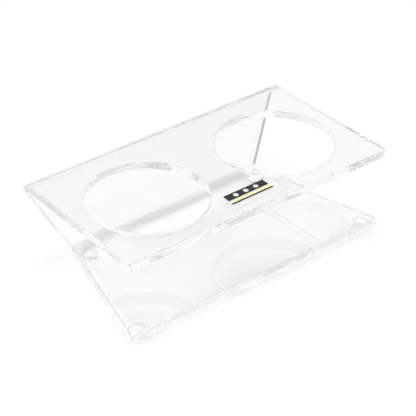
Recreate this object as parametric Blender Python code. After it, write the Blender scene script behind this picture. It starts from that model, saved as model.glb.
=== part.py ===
"""Two-hole counter stand: one clear sheet bent twice, on four clear bumper feet.

Metres, +Z up. X runs along the long side, -Y is the open front, and the feet stand on z = 0.
"""

import math

import bmesh
import bpy

# Sheet blank and its two bends.
SHEET = 0.005                # thickness of the clear sheet
EDGE = 0.0003                # chamfer on every cut edge
CORNER = 0.0012               # plan radius of the four free corners
TOP_HALF = 0.095             # half of the top plate's long side
WAIST_HALF = 0.0704          # half of the narrowest width, at the middle of the lower bend
FRONT_HALF = 0.094           # half of the base plate's front edge
REAR_Y = 0.0534              # rearmost point of the upper bend
TOP_FRONT_Y = -0.0534        # front edge of the top plate
BASE_FRONT_Y = -0.0506       # front edge of the base plate
LEAN = 0.0130                # how far the back panel comes forward on its way down
TOP_RADIUS = 0.0089          # outer radius of the upper bend
LOW_RADIUS = 0.0085          # outer radius of the lower bend
RISE = 0.0553                # underside of the base plate to the top of the top plate
BEND_STEPS = 16

# Holes in the top plate.
HOLE_RADIUS = 0.0366
HOLE_SPACING = 0.096         # centre to centre
HOLE_Y = -0.0054
HOLE_STEPS = 96

# Feet.
FOOT_RADIUS = 0.005
FOOT_HEIGHT = 0.0025
FOOT_TIP = 0.0019            # radius of the flat that stands on the counter
DOME_HEIGHT = 0.0019
PAD_RADIUS = 0.0047
PAD_HEIGHT = 0.0005
FRONT_FEET = (0.0856, -0.0444)
REAR_FEET = (0.0646, 0.0304)
TURN_STEPS = 24

# Printed mark on the top plate.
INK = 0.0002
MARK_HALF = 0.0148
BAR_Y = (-0.0387, -0.0329)
RULE_Y = (-0.0403, -0.0395)
LINE_Y = (-0.0428, -0.0414)
DOT_RADIUS = 0.0016
DOT_SPACING = 0.0074

GAP = 0.0003                 # clearance between touching pieces

PAD_Z = FOOT_HEIGHT + GAP
BASE_Z = PAD_Z + PAD_HEIGHT + GAP
TOP_Z = BASE_Z + RISE
INK_Z = TOP_Z + GAP


def clear_scene():
    """Remove whatever the file holds before building."""
    for item in list(bpy.data.objects):
        bpy.data.objects.remove(item, do_unlink=True)


def finish(name, colour, roughness=0.2, alpha=1.0, transmission=0.0):
    """Return a Principled material."""
    mat = bpy.data.materials.new(name)
    mat.use_nodes = True
    shader = mat.node_tree.nodes["Principled BSDF"]
    shader.inputs["Base Color"].default_value = (*colour, 1.0)
    shader.inputs["Roughness"].default_value = roughness
    shader.inputs["Alpha"].default_value = alpha
    shader.inputs["Transmission Weight"].default_value = transmission
    return mat


def solid(name, verts, faces, mat, smooth=None):
    """Make one named closed solid from vertices and faces."""
    mesh = bpy.data.meshes.new(name)
    bm = bmesh.new()
    points = [bm.verts.new(p) for p in verts]
    for face in faces:
        bm.faces.new([points[i] for i in face])
    bmesh.ops.recalc_face_normals(bm, faces=bm.faces)
    bm.to_mesh(mesh)
    bm.free()
    if smooth is not None:
        mesh.shade_smooth()
        mesh.set_sharp_from_angle(angle=math.radians(smooth))
    mesh.materials.append(mat)
    item = bpy.data.objects.new(name, mesh)
    bpy.context.scene.collection.objects.link(item)
    return item


def turned(name, profile, centre, mat, steps=TURN_STEPS):
    """Make a turned solid from (radius, z) pairs that run from the bottom face to the top."""
    verts, faces = [], []
    for radius, z in profile:
        for k in range(steps):
            angle = 2.0 * math.pi * k / steps
            verts.append((centre[0] + radius * math.cos(angle),
                          centre[1] + radius * math.sin(angle), z))
    for ring in range(len(profile) - 1):
        low, high = ring * steps, (ring + 1) * steps
        for k in range(steps):
            n = (k + 1) % steps
            faces.append((low + k, low + n, high + n, high + k))
    faces.append(tuple(range(steps)))
    faces.append(tuple((len(profile) - 1) * steps + k for k in range(steps)))
    return solid(name, verts, faces, mat, smooth=40.0)


def sheet_stations():
    """List (y, z, normal_y, normal_z, run) on the outer face, from top front to base front.

    The normal points out of the bent sheet, and run is the length along its middle.
    """
    tilt = math.atan2(LEAN, RISE)
    turn_top = math.pi / 2.0 + tilt
    turn_low = math.pi / 2.0 - tilt
    reach_top = TOP_RADIUS * math.tan(turn_top / 2.0)
    reach_low = LOW_RADIUS * math.tan(turn_low / 2.0)
    centre_y = REAR_Y - TOP_RADIUS
    knee_y = centre_y + reach_top
    panel = math.hypot(LEAN, RISE) - reach_top - reach_low
    rows = []

    def add(y, z, ny, nz, run):
        rows.append((y, z, ny, nz, run))

    arcs = [CORNER * (1.0 - math.cos(math.radians(a))) for a in (30, 45, 60, 75, 90)]
    for run in [EDGE] + arcs[1:]:
        add(TOP_FRONT_Y + run, TOP_Z, 0.0, 1.0, run)
    bend_1 = centre_y - TOP_FRONT_Y
    for k in range(BEND_STEPS + 1):
        a = turn_top * k / BEND_STEPS
        add(centre_y + TOP_RADIUS * math.sin(a), TOP_Z - TOP_RADIUS * (1.0 - math.cos(a)),
            math.sin(a), math.cos(a), bend_1 + (TOP_RADIUS - SHEET / 2.0) * a)
    bend_2 = bend_1 + (TOP_RADIUS - SHEET / 2.0) * turn_top + panel
    low_y = knee_y - LEAN - reach_low
    for k in range(BEND_STEPS + 1):
        a = turn_top + turn_low * k / BEND_STEPS
        add(low_y + LOW_RADIUS * math.sin(a), BASE_Z + LOW_RADIUS * (1.0 + math.cos(a)),
            math.sin(a), math.cos(a), bend_2 + (LOW_RADIUS - SHEET / 2.0) * (a - turn_top))
    bend_end = bend_2 + (LOW_RADIUS - SHEET / 2.0) * turn_low
    total = bend_end + low_y - BASE_FRONT_Y
    for run in reversed([EDGE] + arcs[1:]):
        add(BASE_FRONT_Y + run, BASE_Z, 0.0, -1.0, total - run)
    waists = (bend_1 + (TOP_RADIUS - SHEET / 2.0) * turn_top / 2.0,
              bend_2 + (LOW_RADIUS - SHEET / 2.0) * turn_low / 2.0)
    return rows, waists, total


def half_width(run, waists, total):
    """Half of the blank's width at a run along it, rounded at the four free corners."""
    if run <= waists[0]:
        half = TOP_HALF
    elif run <= waists[1]:
        share = (run - waists[0]) / (waists[1] - waists[0])
        half = TOP_HALF + (WAIST_HALF - TOP_HALF) * share
    else:
        share = (run - waists[1]) / (total - waists[1])
        half = WAIST_HALF + (FRONT_HALF - WAIST_HALF) * share
    end = min(run, total - run)
    if end < CORNER:
        half -= CORNER - math.sqrt(CORNER ** 2 - (CORNER - end) ** 2)
    return half


def bent_sheet(mat):
    """Make the sheet with its chamfered edges, before the holes are cut."""
    rows, waists, total = sheet_stations()
    verts, faces = [], []
    for y, z, ny, nz, run in rows:
        half = half_width(run, waists, total)
        ring = ((-half + EDGE, 0.0), (half - EDGE, 0.0), (half, EDGE), (half, SHEET - EDGE),
                (half - EDGE, SHEET), (-half + EDGE, SHEET), (-half, SHEET - EDGE), (-half, EDGE))
        for x, depth in ring:
            verts.append((x, y - ny * depth, z - nz * depth))
    for row in range(len(rows) - 1):
        low, high = row * 8, (row + 1) * 8
        for k in range(8):
            n = (k + 1) % 8
            faces.append((low + k, low + n, high + n, high + k))
    for row, y, z, side in ((0, TOP_FRONT_Y, TOP_Z, 1.0), (len(rows) - 1, BASE_FRONT_Y, BASE_Z, -1.0)):
        half = (TOP_HALF if side > 0 else FRONT_HALF) - CORNER
        first = len(verts)
        for x, depth in ((-half, EDGE), (half, EDGE), (half, SHEET - EDGE), (-half, SHEET - EDGE)):
            verts.append((x, y, z - side * depth))
        ring = row * 8
        faces.append(tuple(first + k for k in range(4)))
        for a, b, c, d in ((0, 1, 1, 0), (2, 3, 2, 1), (4, 5, 3, 2), (6, 7, 0, 3)):
            faces.append((ring + a, ring + b, first + c, first + d))
        for a, b, c in ((1, 2, 1), (3, 4, 2), (5, 6, 3), (7, 0, 0)):
            faces.append((ring + a, ring + b, first + c))
    return solid("bent_sheet", verts, faces, mat, smooth=20.0)


def hole_cutter(name, x, mat):
    """Make the turned cutter of one hole, flared at both faces to leave a chamfer."""
    over = 0.001
    wide = HOLE_RADIUS + EDGE + over
    profile = ((wide, TOP_Z - SHEET - over), (HOLE_RADIUS, TOP_Z - SHEET + EDGE),
               (HOLE_RADIUS, TOP_Z - EDGE), (wide, TOP_Z + over))
    cutter = turned(name, profile, (x, HOLE_Y), mat, HOLE_STEPS)
    cutter.hide_render = True
    cutter.display_type = "WIRE"
    return cutter


def cut(item, cutter):
    """Subtract a cutter from an item."""
    mod = item.modifiers.new(cutter.name, "BOOLEAN")
    mod.operation = "DIFFERENCE"
    mod.solver = "EXACT"
    mod.object = cutter


def bumper_foot(name, x, y, mat):
    """Make one domed foot with a flat tip."""
    profile = []
    for k in range(7):
        a = math.pi / 2.0 * k / 6
        profile.append((FOOT_TIP + (FOOT_RADIUS - FOOT_TIP) * math.sin(a),
                        DOME_HEIGHT * (1.0 - math.cos(a))))
    profile.append((FOOT_RADIUS, FOOT_HEIGHT))
    return turned(name, profile, (x, y), mat)


def adhesive_pad(name, x, y, mat):
    """Make the thin adhesive disc between one foot and the base plate."""
    return turned(name, ((PAD_RADIUS, PAD_Z), (PAD_RADIUS, PAD_Z + PAD_HEIGHT)), (x, y), mat)


def ink_slab(name, y_range, mat, half=MARK_HALF):
    """Make one flat rectangle of print."""
    y0, y1 = y_range
    corners = ((-half, y0), (half, y0), (half, y1), (-half, y1))
    verts = [(x, y, INK_Z) for x, y in corners] + [(x, y, INK_Z + INK) for x, y in corners]
    faces = [(0, 1, 2, 3), (4, 5, 6, 7)] + [(k, (k + 1) % 4, 4 + (k + 1) % 4, 4 + k) for k in range(4)]
    return solid(name, verts, faces, mat)


def main():
    """Build every piece of the stand."""
    clear_scene()
    acrylic = finish("clear_acrylic", (0.93, 0.96, 0.95), 0.03, 0.25, 1.0)
    silicone = finish("clear_silicone", (0.90, 0.92, 0.90), 0.15, 0.55, 0.8)
    adhesive = finish("clear_adhesive", (0.86, 0.87, 0.84), 0.35, 0.6, 0.6)
    dark_ink = finish("dark_ink", (0.035, 0.028, 0.024), 0.5)
    yellow_ink = finish("yellow_ink", (0.80, 0.62, 0.05), 0.5)

    sheet = bent_sheet(acrylic)
    for side, x in (("left", -HOLE_SPACING / 2.0), ("right", HOLE_SPACING / 2.0)):
        cut(sheet, hole_cutter("cutter_hole_" + side, x, acrylic))

    for end, (x, y) in (("front", FRONT_FEET), ("rear", REAR_FEET)):
        for side, sign in (("left", -1.0), ("right", 1.0)):
            place = end + "_" + side
            bumper_foot("bumper_foot_" + place, sign * x, y, silicone)
            adhesive_pad("adhesive_pad_" + place, sign * x, y, adhesive)

    bar = ink_slab("mark_bar", BAR_Y, dark_ink)
    middle = (BAR_Y[0] + BAR_Y[1]) / 2.0
    for k in (-1, 0, 1):
        punch = turned("cutter_dot_%d" % (k + 1), ((DOT_RADIUS, INK_Z - INK), (DOT_RADIUS, INK_Z + 2.0 * INK)),
                       (k * DOT_SPACING, middle), dark_ink, 16)
        punch.hide_render = True
        punch.display_type = "WIRE"
        cut(bar, punch)
    ink_slab("mark_rule", RULE_Y, yellow_ink)
    ink_slab("mark_line", LINE_Y, dark_ink, MARK_HALF + 0.0004)


main()
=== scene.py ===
"""Clear two-hole counter stand: one bent acrylic sheet on four clear bumper feet, with a printed mark."""

import logging
import math
from dataclasses import dataclass
from enum import Enum

import bmesh
import bpy
from mathutils import Euler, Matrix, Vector


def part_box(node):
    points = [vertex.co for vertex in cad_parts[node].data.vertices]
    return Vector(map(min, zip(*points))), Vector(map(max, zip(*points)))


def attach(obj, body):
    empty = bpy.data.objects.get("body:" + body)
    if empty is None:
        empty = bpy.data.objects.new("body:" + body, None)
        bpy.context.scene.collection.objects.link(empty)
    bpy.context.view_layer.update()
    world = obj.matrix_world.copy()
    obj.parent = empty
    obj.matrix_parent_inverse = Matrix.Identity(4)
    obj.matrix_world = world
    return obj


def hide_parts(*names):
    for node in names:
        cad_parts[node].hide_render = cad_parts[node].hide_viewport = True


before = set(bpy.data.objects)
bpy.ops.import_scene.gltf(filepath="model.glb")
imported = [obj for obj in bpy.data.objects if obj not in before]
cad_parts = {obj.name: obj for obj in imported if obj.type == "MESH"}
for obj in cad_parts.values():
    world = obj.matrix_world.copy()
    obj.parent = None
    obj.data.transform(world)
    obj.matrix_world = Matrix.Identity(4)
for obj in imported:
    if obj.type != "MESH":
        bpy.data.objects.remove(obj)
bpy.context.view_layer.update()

LOG = logging.getLogger("counter_stand")
BODY = "root"
Point = tuple[float, float, float]
Colour = tuple[float, float, float]
Band = tuple[float, float]
Rect = tuple[float, float, float, float]
MM = 0.001


class Ink(Enum):
    """The two inks of the printed mark."""

    DARK = "dark_ink"
    YELLOW = "yellow_ink"


class Corner(Enum):
    """Where a foot sits under the base plate."""

    FRONT_LEFT = "front_left"
    FRONT_RIGHT = "front_right"
    REAR_LEFT = "rear_left"
    REAR_RIGHT = "rear_right"


# ---------------------------------------------------------------- node helpers


class NodeBench:
    """A short way to lay out the nodes of one material or world."""

    def __init__(self, tree: bpy.types.NodeTree) -> None:
        """Start from an empty tree.

        Args:
            tree: The node tree to fill.
        """
        tree.nodes.clear()
        self.tree = tree

    def add(self, kind: str, /, **settings: object) -> bpy.types.Node:
        """Add a node and set its sockets or properties.

        Args:
            kind: Node type without the "ShaderNode" prefix.
            **settings: Socket names with underscores for spaces, or node properties.

        Returns:
            The new node.
        """
        node = self.tree.nodes.new("ShaderNode" + kind)
        for key, value in settings.items():
            if hasattr(node, key):
                setattr(node, key, value)
                continue
            socket = node.inputs[key.replace("_", " ")]
            if isinstance(value, bpy.types.NodeSocket):
                self.tree.links.new(value, socket)
            else:
                socket.default_value = value
        return node

    def link(self, source: bpy.types.NodeSocket, target: bpy.types.NodeSocket) -> None:
        """Join two sockets."""
        self.tree.links.new(source, target)

    def ramp(self, source: bpy.types.NodeSocket, stops: list[tuple[float, Colour]]) -> bpy.types.NodeSocket:
        """Map a value through a colour ramp.

        Args:
            source: The value that drives the ramp.
            stops: Two positions with their colours, in order.

        Returns:
            The ramp's colour socket.
        """
        node = self.add("ValToRGB")
        self.link(source, node.inputs["Fac"])
        for element, (place, colour) in zip(node.color_ramp.elements, stops):
            element.position = place
            element.color = (*colour, 1.0)
        return node.outputs["Color"]

    def span(self, source: bpy.types.NodeSocket, low: float, high: float | bpy.types.NodeSocket,
             start: float = 0.0, end: float = 1.0) -> bpy.types.NodeSocket:
        """Map a value from start..end to low..high.

        Args:
            source: The value to map.
            low: The result at start.
            high: The result at end, which may itself be a socket.
            start: Where the mapping begins.
            end: Where it ends.

        Returns:
            The mapped value's socket.
        """
        node = self.add("MapRange", From_Min=start, From_Max=end, To_Min=low, To_Max=high)
        self.link(source, node.inputs["Value"])
        return node.outputs["Result"]

    def aim(self, way: bpy.types.NodeSocket, toward: Point) -> bpy.types.NodeSocket:
        """Compare a direction with a fixed one.

        Args:
            way: The direction that varies.
            toward: The fixed direction, of any length.

        Returns:
            The socket of the cosine between the two.
        """
        node = self.add("VectorMath", operation="DOT_PRODUCT")
        self.link(way, node.inputs[0])
        node.inputs[1].default_value = Vector(toward).normalized()
        return node.outputs["Value"]

    def math(self, operation: str, first: object, second: object = 0.0) -> bpy.types.NodeSocket:
        """Do one sum on two values or sockets.

        Args:
            operation: Blender's name of the sum.
            first: The first number or socket.
            second: The second number or socket.

        Returns:
            The result's socket.
        """
        node = self.add("Math", operation=operation)
        for socket, value in zip(node.inputs, (first, second)):
            if isinstance(value, bpy.types.NodeSocket):
                self.link(value, socket)
            else:
                socket.default_value = value
        return node.outputs["Value"]


# ---------------------------------------------------------------- finishes


@dataclass(frozen=True)
class ClearAcrylic:
    """Polished cast acrylic: faint tint, faint waviness and handling haze."""

    name: str = "clear_acrylic"
    tint_low: Colour = (0.945, 0.950, 0.948)
    tint_high: Colour = (0.959, 0.964, 0.961)
    tint_band: Band = (0.25, 0.75)
    rough_low: float = 0.0
    rough_high: float = 0.012
    rough_band: Band = (0.45, 0.85)
    ripple: float = 0.02
    streaks: bool = False
    haze_scale: float = 38.0
    wave_scale: float = 24.0
    streak_scale: float = 900.0
    streak_stretch: float = 0.04
    wave_depth: float = 0.5 * MM
    refraction: float = 1.49
    absorb: Colour = (0.78, 0.86, 0.83)
    density: float = 0.4

    def make(self) -> bpy.types.Material:
        """Build the material.

        Returns:
            The finished material.
        """
        mat = bpy.data.materials.new(self.name)
        mat.use_nodes = True
        bench = NodeBench(mat.node_tree)
        place = bench.add("TexCoord").outputs["Object"]
        haze = bench.add("TexNoise", Vector=place, Scale=self.haze_scale, Detail=5.0, Roughness=0.6)
        start, end = self.tint_band
        tint = bench.ramp(haze.outputs["Fac"], [(start, self.tint_low), (end, self.tint_high)])
        rough = bench.span(haze.outputs["Fac"], self.rough_low, self.rough_high, *self.rough_band)
        if self.streaks:
            drawn = bench.add("Mapping", Vector=place, Scale=(1.0, 1.0, self.streak_stretch))
            wave = bench.add("TexNoise", Vector=drawn.outputs["Vector"], Scale=self.streak_scale, Detail=2.0)
        else:
            wave = bench.add("TexNoise", Vector=place, Scale=self.wave_scale, Detail=1.0)
        bump = bench.add("Bump", Strength=self.ripple, Distance=self.wave_depth, Height=wave.outputs["Fac"])
        shader = bench.add("BsdfPrincipled", Base_Color=tint, Roughness=rough, Normal=bump.outputs["Normal"])
        shader.inputs["Transmission Weight"].default_value = 1.0
        shader.inputs["IOR"].default_value = self.refraction
        body = bench.add("VolumeAbsorption", Color=(*self.absorb, 1.0), Density=self.density)
        out = bench.add("OutputMaterial")
        bench.link(shader.outputs["BSDF"], out.inputs["Surface"])
        bench.link(body.outputs["Volume"], out.inputs["Volume"])
        return mat


@dataclass(frozen=True)
class ClearBumper:
    """Soft clear moulded resin of a bumper foot."""

    name: str = "clear_silicone"
    tint_low: Colour = (0.965, 0.975, 0.970)
    tint_high: Colour = (0.99, 0.995, 0.99)
    tint_band: Band = (0.3, 0.7)
    rough: float = 0.02
    rough_swing: float = 0.5
    rough_band: Band = (0.3, 0.8)
    cloud_scale: float = 420.0
    dimple: float = 0.05
    dimple_depth: float = 0.2 * MM
    refraction: float = 1.34

    def make(self) -> bpy.types.Material:
        """Build the material.

        Returns:
            The finished material.
        """
        mat = bpy.data.materials.new(self.name)
        mat.use_nodes = True
        bench = NodeBench(mat.node_tree)
        place = bench.add("TexCoord").outputs["Object"]
        cloud = bench.add("TexNoise", Vector=place, Scale=self.cloud_scale, Detail=3.0)
        start, end = self.tint_band
        tint = bench.ramp(cloud.outputs["Fac"], [(start, self.tint_low), (end, self.tint_high)])
        smooth, worn = self.rough * (1.0 - self.rough_swing), self.rough * (1.0 + self.rough_swing)
        rough = bench.span(cloud.outputs["Fac"], smooth, worn, *self.rough_band)
        height = cloud.outputs["Fac"]
        bump = bench.add("Bump", Strength=self.dimple, Distance=self.dimple_depth, Height=height)
        shader = bench.add("BsdfPrincipled", Base_Color=tint, Roughness=rough, Normal=bump.outputs["Normal"])
        shader.inputs["Transmission Weight"].default_value = 1.0
        shader.inputs["IOR"].default_value = self.refraction
        out = bench.add("OutputMaterial")
        bench.link(shader.outputs["BSDF"], out.inputs["Surface"])
        return mat


@dataclass(frozen=True)
class AdhesiveFilm:
    """Pressure-sensitive film: clear at the rim, milky white in the middle as a painted highlight, with tiny
    trapped bubbles.
    """

    name: str = "clear_adhesive"
    clear: Colour = (0.975, 0.98, 0.975)
    bubble: Colour = (0.90, 0.91, 0.90)
    bubble_band: Band = (0.12, 0.24)
    bubble_rough: float = 0.16
    clear_rough: float = 0.01
    rough_band: Band = (0.1, 0.3)
    # Painted highlight: the middle passes less light and shows milky white, giving the foot a bright centre.
    highlight_milk: float = 0.60
    highlight_milk_band: Band = (0.53, 0.62)
    bubble_scale: float = 1500.0
    bubble_lift: float = 0.04
    bubble_depth: float = 0.1 * MM
    refraction: float = 1.08

    def make(self) -> bpy.types.Material:
        """Build the material.

        Returns:
            The finished material.
        """
        mat = bpy.data.materials.new(self.name)
        mat.use_nodes = True
        bench = NodeBench(mat.node_tree)
        place = bench.add("TexCoord").outputs["Object"]
        cells = bench.add("TexVoronoi", Vector=place, Scale=self.bubble_scale)
        reach, (start, end) = cells.outputs["Distance"], self.bubble_band
        tint = bench.ramp(reach, [(start, self.bubble), (end, self.clear)])
        rough = bench.span(reach, self.bubble_rough, self.clear_rough, *self.rough_band)
        bump = bench.add("Bump", Strength=self.bubble_lift, Distance=self.bubble_depth, Height=reach)
        # Painted highlight: less light passes in the middle of the disc, so it shows as a milky white bright
        # centre.
        middle = bench.add("VectorMath", operation="DISTANCE")
        bench.link(bench.add("TexCoord").outputs["Generated"], middle.inputs[0])
        middle.inputs[1].default_value = (0.5, 0.5, 0.5)
        passed = bench.span(middle.outputs["Value"], 1.0 - self.highlight_milk, 1.0, *self.highlight_milk_band)
        shader = bench.add("BsdfPrincipled", Base_Color=tint, Roughness=rough, Normal=bump.outputs["Normal"],
                           Transmission_Weight=passed)
        shader.inputs["IOR"].default_value = self.refraction
        out = bench.add("OutputMaterial")
        bench.link(shader.outputs["BSDF"], out.inputs["Surface"])
        return mat


@dataclass(frozen=True)
class ScreenInk:
    """Opaque screen-printed ink with a fine mesh grain and slightly uneven cover."""

    ink: Ink
    base: Colour
    thin: Colour
    cover_band: Band = (0.35, 0.8)
    rough: float = 0.5
    rough_extra: float = 0.16
    shine: float = 0.2
    cover_scale: float = 700.0
    mesh_scale: float = 5200.0
    mesh_lift: float = 0.2
    mesh_depth: float = 0.03 * MM

    def make(self) -> bpy.types.Material:
        """Build the material.

        Returns:
            The finished material.
        """
        mat = bpy.data.materials.new(self.ink.value)
        mat.use_nodes = True
        bench = NodeBench(mat.node_tree)
        place = bench.add("TexCoord").outputs["Object"]
        cover = bench.add("TexNoise", Vector=place, Scale=self.cover_scale, Detail=4.0)
        mesh_grain = bench.add("TexVoronoi", Vector=place, Scale=self.mesh_scale)
        grain, (start, end) = mesh_grain.outputs["Distance"], self.cover_band
        colour = bench.ramp(cover.outputs["Fac"], [(start, self.base), (end, self.thin)])
        rough = bench.span(grain, self.rough, self.rough + self.rough_extra)
        bump = bench.add("Bump", Strength=self.mesh_lift, Distance=self.mesh_depth, Height=grain)
        shader = bench.add("BsdfPrincipled", Base_Color=colour, Roughness=rough,
                           Normal=bump.outputs["Normal"])
        shader.inputs["Specular IOR Level"].default_value = self.shine
        out = bench.add("OutputMaterial")
        bench.link(shader.outputs["BSDF"], out.inputs["Surface"])
        return mat


# ---------------------------------------------------------------- mesh helpers


def piece_from(bm: bmesh.types.BMesh, name: str, sharp_deg: float | None = None) -> bpy.types.Object:
    """Turn a bmesh into a linked object with outward normals.

    Args:
        bm: The geometry, which is freed here.
        name: Name of the object and of its mesh.
        sharp_deg: Edges steeper than this stay sharp and the rest are smooth; None keeps faces flat.

    Returns:
        The new object.
    """
    bmesh.ops.recalc_face_normals(bm, faces=bm.faces)
    mesh = bpy.data.meshes.new(name)
    bm.to_mesh(mesh)
    bm.free()
    if sharp_deg is not None:
        mesh.shade_smooth()
        mesh.set_sharp_from_angle(angle=math.radians(sharp_deg))
    item = bpy.data.objects.new(name, mesh)
    bpy.context.scene.collection.objects.link(item)
    return item


def turned(profile: list[tuple[float, float]], centre: tuple[float, float], steps: int) -> bmesh.types.BMesh:
    """Turn a profile about a vertical axis and close both ends.

    Args:
        profile: (radius, z) pairs from the bottom face to the top face.
        centre: X and Y of the axis.
        steps: Number of sides.

    Returns:
        The turned geometry.
    """
    bm = bmesh.new()
    rings = []
    for radius, z in profile:
        ring = []
        for k in range(steps):
            a = 2.0 * math.pi * k / steps
            x, y = centre[0] + radius * math.cos(a), centre[1] + radius * math.sin(a)
            ring.append(bm.verts.new((x, y, z)))
        rings.append(ring)
    for low, high in zip(rings, rings[1:]):
        for k in range(steps):
            n = (k + 1) % steps
            bm.faces.new((low[k], low[n], high[n], high[k]))
    bm.faces.new(rings[0])
    bm.faces.new(rings[-1])
    return bm


def mount_piece(item: bpy.types.Object, slot: str, *nodes: str) -> None:
    """Ride a piece on the stand, log its slot and let it stand for CAD nodes.

    Args:
        item: The visible piece.
        slot: The record's material slot, which is only logged.
        *nodes: The CAD nodes it replaces.
    """
    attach(item, BODY)
    if nodes:
        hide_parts(*nodes)
    LOG.info("piece %s: %d faces, slot %s", item.name, len(item.data.polygons), slot)


# ---------------------------------------------------------------- the bent sheet


@dataclass
class BentSheet:
    """The hourglass blank, bent twice, with its two holes."""

    thickness: float = 5.0 * MM
    edge: float = 0.3 * MM
    corner: float = 1.2 * MM
    top_half: float = 95.0 * MM
    waist_half: float = 70.4 * MM
    front_half: float = 94.0 * MM
    rear_y: float = 53.4 * MM
    top_front_y: float = -53.4 * MM
    base_front_y: float = -50.6 * MM
    lean: float = 13.0 * MM
    top_radius: float = 8.9 * MM
    low_radius: float = 8.5 * MM
    rise: float = 55.3 * MM
    base_z: float = 3.6 * MM
    hole_radius: float = 36.6 * MM
    hole_spacing: float = 96.0 * MM
    hole_y: float = -5.4 * MM
    bend_steps: int = 40
    corner_steps: int = 8
    hole_steps: int = 192
    guard: float = 0.3 * MM
    cutter_over: float = 1.0 * MM
    steep: float = 0.3
    panel_from: float = 40.0 * MM
    lip_depth: float = 6.0 * MM
    lip_area: float = 100.0 * MM * MM
    sharp_deg: float = 20.0
    wide_face: ClearAcrylic = ClearAcrylic()
    cut_face: ClearAcrylic = ClearAcrylic(name="cut_edge", tint_low=(0.975, 0.982, 0.980),
                                          tint_high=(0.990, 0.995, 0.992), rough_high=0.03,
                                          ripple=0.05, streaks=True)

    @property
    def top_z(self) -> float:
        """Height of the top plate's upper face."""
        return self.base_z + self.rise

    def stations(self) -> tuple[list[tuple[float, ...]], tuple[float, float], float]:
        """Walk the outer face from the top plate's front edge to the base plate's front edge.

        Returns:
            Rows of (y, z, normal y, normal z, run), the run at the middle of each bend, and the total run.
        """
        tilt = math.atan2(self.lean, self.rise)
        turn_top, turn_low = math.pi / 2 + tilt, math.pi / 2 - tilt
        reach_top = self.top_radius * math.tan(turn_top / 2)
        reach_low = self.low_radius * math.tan(turn_low / 2)
        mid_top, mid_low = self.top_radius - self.thickness / 2, self.low_radius - self.thickness / 2
        centre_y = self.rear_y - self.top_radius
        low_y = centre_y + reach_top - self.lean - reach_low
        panel = math.hypot(self.lean, self.rise) - reach_top - reach_low
        ends = [self.edge] + [self.corner * (1 - math.cos(math.radians(90 * k / self.corner_steps)))
                              for k in range(self.corner_steps // 2, self.corner_steps + 1)]
        rows = [(self.top_front_y + run, self.top_z, 0.0, 1.0, run) for run in ends]
        bend_1 = centre_y - self.top_front_y
        rows.append((centre_y - self.guard, self.top_z, 0.0, 1.0, bend_1 - self.guard))
        for k in range(self.bend_steps + 1):
            a = turn_top * k / self.bend_steps
            y = centre_y + self.top_radius * math.sin(a)
            z = self.top_z - self.top_radius * (1 - math.cos(a))
            rows.append((y, z, math.sin(a), math.cos(a), bend_1 + mid_top * a))
        bend_1_end = bend_1 + mid_top * turn_top
        down = (-math.sin(tilt), -math.cos(tilt))
        y, z, ny, nz, _ = rows[-1]
        for run in (self.guard, panel - self.guard):
            rows.append((y + down[0] * run, z + down[1] * run, ny, nz, bend_1_end + run))
        bend_2 = bend_1_end + panel
        for k in range(self.bend_steps + 1):
            a = turn_top + turn_low * k / self.bend_steps
            y = low_y + self.low_radius * math.sin(a)
            z = self.base_z + self.low_radius * (1 + math.cos(a))
            rows.append((y, z, math.sin(a), math.cos(a), bend_2 + mid_low * (a - turn_top)))
        bend_2_end = bend_2 + mid_low * turn_low
        rows.append((low_y - self.guard, self.base_z, 0.0, -1.0, bend_2_end + self.guard))
        total = bend_2_end + low_y - self.base_front_y
        rows += [(self.base_front_y + run, self.base_z, 0.0, -1.0, total - run) for run in reversed(ends)]
        return rows, (bend_1 + mid_top * turn_top / 2, bend_2 + mid_low * turn_low / 2), total

    def half_width(self, run: float, waists: tuple[float, float], total: float) -> float:
        """Half of the blank's width at one run.

        Args:
            run: Length along the middle of the sheet from the top plate's front edge.
            waists: The runs where the outline changes direction.
            total: The whole run.

        Returns:
            Half of the width, with the free corners rounded.
        """
        if run <= waists[0]:
            half = self.top_half
        elif run <= waists[1]:
            share = (run - waists[0]) / (waists[1] - waists[0])
            half = self.top_half + (self.waist_half - self.top_half) * share
        else:
            share = (run - waists[1]) / (total - waists[1])
            half = self.waist_half + (self.front_half - self.waist_half) * share
        end = min(run, total - run)
        if end < self.corner:
            half -= self.corner - math.sqrt(self.corner ** 2 - (self.corner - end) ** 2)
        return half

    def blank(self) -> bpy.types.Object:
        """Build the bent blank with chamfered edges and no holes.

        Returns:
            The blank.
        """
        rows, waists, total = self.stations()
        bm = bmesh.new()
        loops = []
        for y, z, ny, nz, run in rows:
            half = self.half_width(run, waists, total)
            edge, deep = self.edge, self.thickness - self.edge
            ring = ((-half + edge, 0.0), (half - edge, 0.0), (half, edge), (half, deep),
                    (half - edge, self.thickness), (-half + edge, self.thickness),
                    (-half, deep), (-half, edge))
            loops.append([bm.verts.new((x, y - ny * d, z - nz * d)) for x, d in ring])
        for low, high in zip(loops, loops[1:]):
            for k in range(len(low)):
                n = (k + 1) % len(low)
                bm.faces.new((low[k], low[n], high[n], high[k]))
        ends = ((loops[0], self.top_front_y, self.top_z, 1.0, self.top_half),
                (loops[-1], self.base_front_y, self.base_z, -1.0, self.front_half))
        for loop, y, z, side, full in ends:
            half = full - self.corner
            cap = [bm.verts.new((x, y, z - side * d)) for x, d in
                   ((-half, self.edge), (half, self.edge),
                    (half, self.thickness - self.edge), (-half, self.thickness - self.edge))]
            bm.faces.new(cap)
            for a, b, c, d in ((0, 1, 1, 0), (2, 3, 2, 1), (4, 5, 3, 2), (6, 7, 0, 3)):
                bm.faces.new((loop[a], loop[b], cap[c], cap[d]))
            for a, b, c in ((1, 2, 1), (3, 4, 2), (5, 6, 3), (7, 0, 0)):
                bm.faces.new((loop[a], loop[b], cap[c]))
        return piece_from(bm, "acrylic_sheet")

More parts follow.
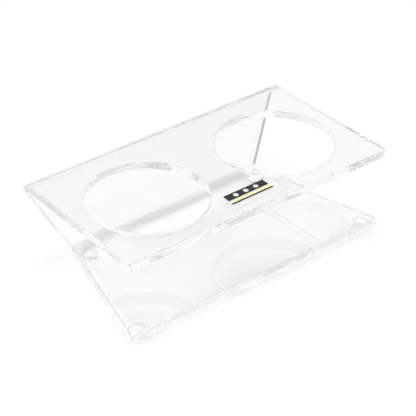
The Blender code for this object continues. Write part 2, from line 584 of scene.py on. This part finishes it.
    def drill(self, sheet: bpy.types.Object) -> None:
        """Cut both holes, with a small chamfer at each lip.

        Args:
            sheet: The blank, whose mesh is replaced.
        """
        over = self.cutter_over
        wide = self.hole_radius + self.edge + over
        low, high = self.top_z - self.thickness, self.top_z
        profile = [(wide, low - over), (self.hole_radius, low + self.edge),
                   (self.hole_radius, high - self.edge), (wide, high + over)]
        cutters = []
        for x in (-self.hole_spacing / 2, self.hole_spacing / 2):
            cutter = piece_from(turned(profile, (x, self.hole_y), self.hole_steps), "hole_cutter")
            mod = sheet.modifiers.new("hole", "BOOLEAN")
            mod.operation, mod.solver, mod.object = "DIFFERENCE", "EXACT", cutter
            cutters.append(cutter)
        graph = bpy.context.evaluated_depsgraph_get()
        mesh = bpy.data.meshes.new_from_object(sheet.evaluated_get(graph))
        sheet.modifiers.clear()
        old, sheet.data = sheet.data, mesh
        bpy.data.meshes.remove(old)
        mesh.name = sheet.name
        for cutter in cutters:
            bpy.data.objects.remove(cutter, do_unlink=True)

    def is_cut(self, face: bpy.types.MeshPolygon) -> bool:
        """Tell a sawn, chamfered or drilled face from a face of the bought sheet.

        Args:
            face: A face of the drilled sheet.

        Returns:
            True for the outline's walls, the hole walls and their chamfers.
        """
        ahead = face.center.y < self.hole_y + self.panel_from
        if abs(face.normal.x) > self.steep or (abs(face.normal.y) > self.steep and ahead):
            return True
        reach = math.hypot(abs(face.center.x) - self.hole_spacing / 2, face.center.y - self.hole_y)
        at_lip = face.center.z > self.top_z - self.lip_depth and reach < self.hole_radius + 2 * self.edge
        return at_lip and face.area < self.lip_area

    def dress(self, sheet: bpy.types.Object) -> None:
        """Give the wide faces and the cut edges their finishes.

        Args:
            sheet: The drilled sheet.
        """
        mesh = sheet.data
        mesh.materials.clear()
        for finish in (self.wide_face, self.cut_face):
            mesh.materials.append(finish.make())
        for face in mesh.polygons:
            face.material_index = 1 if self.is_cut(face) else 0
        mesh.shade_smooth()
        mesh.set_sharp_from_angle(angle=math.radians(self.sharp_deg))

    def build(self) -> bpy.types.Object:
        """Make, drill and dress the sheet.

        Returns:
            The finished piece.
        """
        sheet = self.blank()
        self.drill(sheet)
        self.dress(sheet)
        mount_piece(sheet, "clear_acrylic", "bent_sheet")
        return sheet


# ---------------------------------------------------------------- feet


@dataclass
class BumperFoot:
    """One clear domed foot and the adhesive disc that holds it."""

    corner: Corner
    radius: float = 5.0 * MM
    tip: float = 1.9 * MM
    dome: float = 1.9 * MM
    sides: int = 64
    dome_steps: int = 14
    lip: float = 0.15 * MM
    film_rim: float = 0.08 * MM
    sharp_deg: float = 30.0

    def build(self, bumper: bpy.types.Material, film: bpy.types.Material) -> None:
        """Make the foot and its disc.

        Args:
            bumper: Finish of the foot.
            film: Finish of the disc.
        """
        foot_node = "bumper_foot_" + self.corner.value
        pad_node = "adhesive_pad_" + self.corner.value
        low, high = (Vector(p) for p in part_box(foot_node))
        centre = ((low.x + high.x) / 2, (low.y + high.y) / 2)
        profile = []
        for k in range(self.dome_steps + 1):
            a = math.pi / 2 * k / self.dome_steps
            wide = self.tip + (self.radius - self.tip) * math.sin(a)
            profile.append((wide, self.dome * (1 - math.cos(a))))
        top = high.z
        profile += [(self.radius, top - self.lip), (self.radius - self.lip, top)]
        foot = piece_from(turned(profile, centre, self.sides), "foot_" + self.corner.value, self.sharp_deg)
        foot.data.materials.append(bumper)
        mount_piece(foot, "clear_silicone", foot_node)
        low, high = (Vector(p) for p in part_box(pad_node))
        wide = (high.x - low.x) / 2
        rim = self.film_rim
        profile = [(wide - rim, low.z), (wide, low.z + rim), (wide, high.z - rim), (wide - rim, high.z)]
        pad = piece_from(turned(profile, centre, self.sides), "film_" + self.corner.value, self.sharp_deg)
        pad.data.materials.append(film)
        mount_piece(pad, "clear_adhesive", pad_node)


# ---------------------------------------------------------------- printed mark


@dataclass
class PrintedMark:
    """A plain geometric mark: a dark bar with three dots left out, a yellow rule and a dashed line."""

    lift: float = 0.02 * MM
    film: float = 0.03 * MM
    dot: float = 1.6 * MM
    dot_spacing: float = 7.4 * MM
    round_off: float = 0.5 * MM
    round_limit: float = 2.2
    corner_steps: int = 4
    dot_sides: int = 32
    dark: ScreenInk = ScreenInk(Ink.DARK, (0.010, 0.007, 0.007), (0.022, 0.017, 0.016))
    yellow: ScreenInk = ScreenInk(Ink.YELLOW, (0.83, 0.63, 0.03), (0.90, 0.74, 0.12))

    def outline(self, box: Rect, round_off: float) -> list[tuple[float, float]]:
        """Walk round a rectangle with rounded corners, anticlockwise.

        Args:
            box: Lowest and highest X, then lowest and highest Y.
            round_off: Radius of its corners.

        Returns:
            The corner points.
        """
        x0, x1, y0, y1 = box
        points = []
        for cx, cy, start in ((x1 - round_off, y0 + round_off, -90), (x1 - round_off, y1 - round_off, 0),
                              (x0 + round_off, y1 - round_off, 90), (x0 + round_off, y0 + round_off, 180)):
            for k in range(self.corner_steps + 1):
                a = math.radians(start + 90.0 * k / self.corner_steps)
                points.append((cx + round_off * math.cos(a), cy + round_off * math.sin(a)))
        return points

    def slab(self, name: str, box: Rect, z: float, material: bpy.types.Material, round_off: float,
             dots: tuple[float, ...] = ()) -> bpy.types.Object:
        """Make one flat rounded rectangle of ink.

        Args:
            name: Name of the piece.
            box: Lowest and highest X, then lowest and highest Y.
            z: Height of its underside.
            material: Its ink.
            round_off: Radius of its corners.
            dots: X places of the round dots left out along its middle.

        Returns:
            The new piece.
        """
        bm = bmesh.new()
        middle = (box[2] + box[3]) / 2
        loops = [self.outline(box, round_off)]
        for x in dots:
            turns = [2.0 * math.pi * k / self.dot_sides for k in range(self.dot_sides)]
            loops.append([(x + self.dot * math.cos(a), middle - self.dot * math.sin(a)) for a in turns])
        for height in (z, z + self.film):
            edges = []
            for loop in loops:
                ring = [bm.verts.new((x, y, height)) for x, y in loop]
                edges += [bm.edges.new((a, b)) for a, b in zip(ring, ring[1:] + ring[:1])]
            bmesh.ops.triangle_fill(bm, use_beauty=True, use_dissolve=False, edges=edges)
        bm.verts.ensure_lookup_table()
        count, start = len(bm.verts) // 2, 0
        for loop in loops:
            size = len(loop)
            for k in range(size):
                a, b = start + k, start + (k + 1) % size
                bm.faces.new([bm.verts[i] for i in (a, b, b + count, a + count)])
            start += size
        item = piece_from(bm, name)
        item.data.materials.append(material)
        return item

    def build(self, deck_z: float) -> None:
        """Print the mark on the top plate.

        Args:
            deck_z: Height of the top plate's upper face.
        """
        dark, yellow = self.dark.make(), self.yellow.make()
        z = deck_z + self.lift
        for node, ink, slot in (("mark_bar", dark, "dark_ink"), ("mark_rule", yellow, "yellow_ink"),
                                ("mark_line", dark, "dark_ink")):
            low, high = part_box(node)
            radius = min(self.round_off, (high[1] - low[1]) / self.round_limit)
            middle = (low[0] + high[0]) / 2
            dots = tuple(middle + k * self.dot_spacing for k in (-1, 0, 1)) if node == "mark_bar" else ()
            box = (low[0], high[0], low[1], high[1])
            item = self.slab("print_" + node.removeprefix("mark_"), box, z, ink, radius, dots)
            mount_piece(item, slot, node)


# ---------------------------------------------------------------- studio


@dataclass(frozen=True)
class DarkPatch:
    """A dimmer stretch of the room: where it is, its share of light, and the angles of its rim and core."""

    toward: Point
    share: float
    rim: float
    core: float


@dataclass
class Studio:
    """Pale table in a pale room, dimmer near the horizon, with one round lamp overhead, and the camera.

    The table's paint (tone) and painted glow have three levels: under the stand's rear part, under its front
    part, and on the bare table, where a strong painted glow hides the stand's shadow past its own footprint.
    """

    eye: Point = (-0.4843, -0.5993, 0.5448)
    azimuth: float = -39.0127
    elevation: float = 33.8556
    roll: float = 0.3583
    lens: float = 134.05
    sensor: float = 36.0
    sight: float = 50.0
    floor_half: float = 12.0
    tone_under: float = 0.56
    tone_front: float = 0.36
    tone_bare: float = 0.10
    # Painted glow of the table under the stand's rear part, under its front part and on the bare table.
    painted_glow_under: float = 0.125
    painted_glow_front: float = 0.42
    painted_glow_bare: float = 0.85
    cover_half: float = 80.9 * MM
    cover_taper: float = 0.262
    cover_rear: float = 57.0 * MM
    cover_front: float = -56.0 * MM
    cover_soft: float = 8.0 * MM
    front_from: float = -15.0 * MM
    front_to: float = 12.0 * MM
    hue_reach: float = 60.0 * MM
    fleck: float = 0.99
    fleck_scale: float = 60.0
    floor_rough: float = 0.9
    floor_drop: float = 0.02 * MM
    lamp: float = 32.5
    lamp_half: float = 9.0
    lamp_soft: float = 0.25
    lamp_tilt: float = -2.0
    room: float = 0.94
    horizon: float = 0.70
    horizon_top: float = 0.25
    dark_front: DarkPatch = DarkPatch((-0.50, -0.75, 0.42), 0.28, 34.0, 14.0)
    dark_corner: DarkPatch = DarkPatch((-0.60, 0.79, 0.10), 0.70, 28.0, 12.0)
    cool: Colour = (0.993, 1.0, 0.995)
    warm: Colour = (0.988, 0.984, 0.970)
    bounces: int = 96

    def camera(self) -> None:
        """Make the camera at the object's usual viewing angle."""
        data = bpy.data.cameras.new("view_camera")
        data.lens = self.lens
        data.sensor_width = self.sensor
        data.clip_end = self.sight
        item = bpy.data.objects.new("view_camera", data)
        item.location = self.eye
        a, e = math.radians(self.azimuth), math.radians(self.elevation)
        back = Vector((math.sin(a) * math.cos(e), -math.cos(a) * math.cos(e), math.sin(e)))
        turn = back.to_track_quat("Z", "Y")
        item.rotation_euler = (turn @ Euler((0.0, 0.0, math.radians(self.roll))).to_quaternion()).to_euler()
        bpy.context.scene.collection.objects.link(item)
        bpy.context.scene.camera = item

    def footprint(self, bench: NodeBench, place: bpy.types.Node) -> bpy.types.NodeSocket:
        """Mark the part of the table that the stand covers, with a soft rim; the table's painted glow is
        weaker there.

        Args:
            bench: The floor's node bench.
            place: The node that gives X and Y.

        Returns:
            A value of 1 under the stand and 0 on the bare table.
        """
        x, y, soft = place.outputs["X"], place.outputs["Y"], self.cover_soft
        half = bench.math("SUBTRACT", self.cover_half, bench.math("MULTIPLY", y, self.cover_taper))
        beyond = bench.math("SUBTRACT", bench.math("ABSOLUTE", x), half)
        inside = bench.span(beyond, 1.0, 0.0, -soft, 0.0)
        before = bench.span(y, 1.0, 0.0, self.cover_rear - soft, self.cover_rear)
        behind = bench.span(y, 0.0, 1.0, self.cover_front, self.cover_front + soft)
        return bench.math("MULTIPLY", inside, bench.math("MULTIPLY", before, behind))

    def floor(self) -> None:
        """Lay the pale table under the feet."""
        bm = bmesh.new()
        h = self.floor_half
        bm.faces.new([bm.verts.new(p) for p in ((-h, -h, 0.0), (h, -h, 0.0), (h, h, 0.0), (-h, h, 0.0))])
        item = piece_from(bm, "pale_floor")
        item.location.z = -self.floor_drop
        mat = bpy.data.materials.new("pale_floor")
        mat.use_nodes = True
        bench = NodeBench(mat.node_tree)
        place = bench.add("TexCoord").outputs["Object"]
        grain = bench.add("TexNoise", Vector=place, Scale=self.fleck_scale, Detail=2.0)
        fleck = self.fleck
        flecks = bench.ramp(grain.outputs["Fac"], [(0.0, (fleck, fleck, fleck)), (1.0, (1.0, 1.0, 1.0))])
        side = bench.add("SeparateXYZ", Vector=place)
        across = bench.span(side.outputs["X"], 0.0, 1.0, -self.hue_reach, self.hue_reach)
        hue = bench.ramp(across, [(0.0, self.cool), (1.0, self.warm)])
        under = self.footprint(bench, side)
        paint = bench.add("VectorMath", operation="MULTIPLY")
        bench.link(flecks, paint.inputs[0])
        bench.link(hue, paint.inputs[1])
        tone = bench.add("VectorMath", operation="SCALE")
        bench.link(paint.outputs["Vector"], tone.inputs[0])
        # Painted light: the table's glow is weak under the stand's rear part, stronger under its front part
        # and strongest on the bare table, standing in for light that no lamp gives there.
        depth, start, end = side.outputs["Y"], self.front_from, self.front_to
        tone_here = bench.span(depth, self.tone_front, self.tone_under, start, end)
        painted_glow_here = bench.span(depth, self.painted_glow_front, self.painted_glow_under, start, end)
        bench.link(bench.span(under, self.tone_bare, tone_here), tone.inputs["Scale"])
        painted_glow = bench.span(under, self.painted_glow_bare, painted_glow_here)
        shader = bench.add("BsdfPrincipled", Base_Color=tone.outputs["Vector"], Roughness=self.floor_rough,
                           Emission_Color=hue, Emission_Strength=painted_glow)
        shader.inputs["Specular IOR Level"].default_value = 0.0
        out = bench.add("OutputMaterial")
        bench.link(shader.outputs["BSDF"], out.inputs["Surface"])
        item.data.materials.append(mat)

    def dark_patch(self, bench: NodeBench, way: bpy.types.NodeSocket,
                   patch: DarkPatch) -> bpy.types.NodeSocket:
        """Dim one stretch of the room.

        Args:
            bench: The world's node bench.
            way: The direction that is looked in.
            patch: The stretch to dim.

        Returns:
            The share of light left in that direction.
        """
        rim, core = (math.cos(math.radians(angle)) for angle in (patch.rim, patch.core))
        return bench.span(bench.aim(way, patch.toward), 1.0, patch.share, rim, core)

    def off_gloss(self, bench: NodeBench) -> bpy.types.NodeSocket:
        """Keep the lamp's own glare out of polished faces, as a polarised lamp would.

        Args:
            bench: The world's node bench.

        Returns:
            A value of 1 for light on its way to a matt surface and 0 for a mirror image of the lamp.
        """
        path = bench.add("LightPath")
        polished = bench.math("ADD", path.outputs["Is Glossy Ray"], path.outputs["Is Transmission Ray"])
        direct = bench.math("SUBTRACT", 1.0, polished)
        matt = bench.math("MINIMUM", path.outputs["Diffuse Depth"], 1.0)
        return bench.math("MAXIMUM", direct, matt)

    def surround(self) -> None:
        """Light everything from a pale room and one round lamp overhead."""
        world = bpy.data.worlds.new("studio")
        bpy.context.scene.world = world
        world.use_nodes = True
        bench = NodeBench(world.node_tree)
        way = bench.add("TexCoord").outputs["Generated"]
        height = bench.add("SeparateXYZ", Vector=way).outputs["Z"]
        low, full = self.horizon, self.room
        walls = bench.ramp(height, [(0.0, (low, low, low)), (self.horizon_top, (full, full, full))])
        shade = bench.math("MULTIPLY", self.dark_patch(bench, way, self.dark_front),
                           self.dark_patch(bench, way, self.dark_corner))
        room = bench.add("VectorMath", operation="SCALE")
        bench.link(walls, room.inputs[0])
        bench.link(shade, room.inputs["Scale"])
        tilt = math.radians(self.lamp_tilt)
        overhead = bench.aim(way, (0.0, -math.sin(tilt), math.cos(tilt)))
        spread = (1.0 + self.lamp_soft, 1.0 - self.lamp_soft)
        rim, core = (math.cos(math.radians(self.lamp_half * k)) for k in spread)
        lamp = bench.math("MULTIPLY", bench.span(overhead, 0.0, self.lamp, rim, core), self.off_gloss(bench))
        level = bench.add("VectorMath", operation="ADD")
        bench.link(room.outputs["Vector"], level.inputs[0])
        bench.link(lamp, level.inputs[1])
        sky = bench.add("Background", Color=level.outputs["Vector"], Strength=1.0)
        out = bench.add("OutputWorld")
        bench.link(sky.outputs["Background"], out.inputs["Surface"])

    def build(self) -> None:
        """Set the whole studio."""
        scene = bpy.context.scene
        scene.view_settings.view_transform = "Standard"
        scene.cycles.max_bounces = self.bounces
        scene.cycles.transmission_bounces = self.bounces
        scene.cycles.glossy_bounces = self.bounces
        scene.cycles.blur_glossy = 0.0
        scene.cycles.sample_clamp_indirect = 0.0
        self.camera()
        self.floor()
        self.surround()


def main() -> None:
    """Build every piece in order."""
    logging.basicConfig(level=logging.INFO, format="%(message)s")
    Studio().build()
    sheet = BentSheet()
    sheet.build()
    bumper, film = ClearBumper().make(), AdhesiveFilm().make()
    for corner in Corner:
        BumperFoot(corner).build(bumper, film)
    PrintedMark().build(sheet.top_z)


if __name__ == "__main__":
    main()
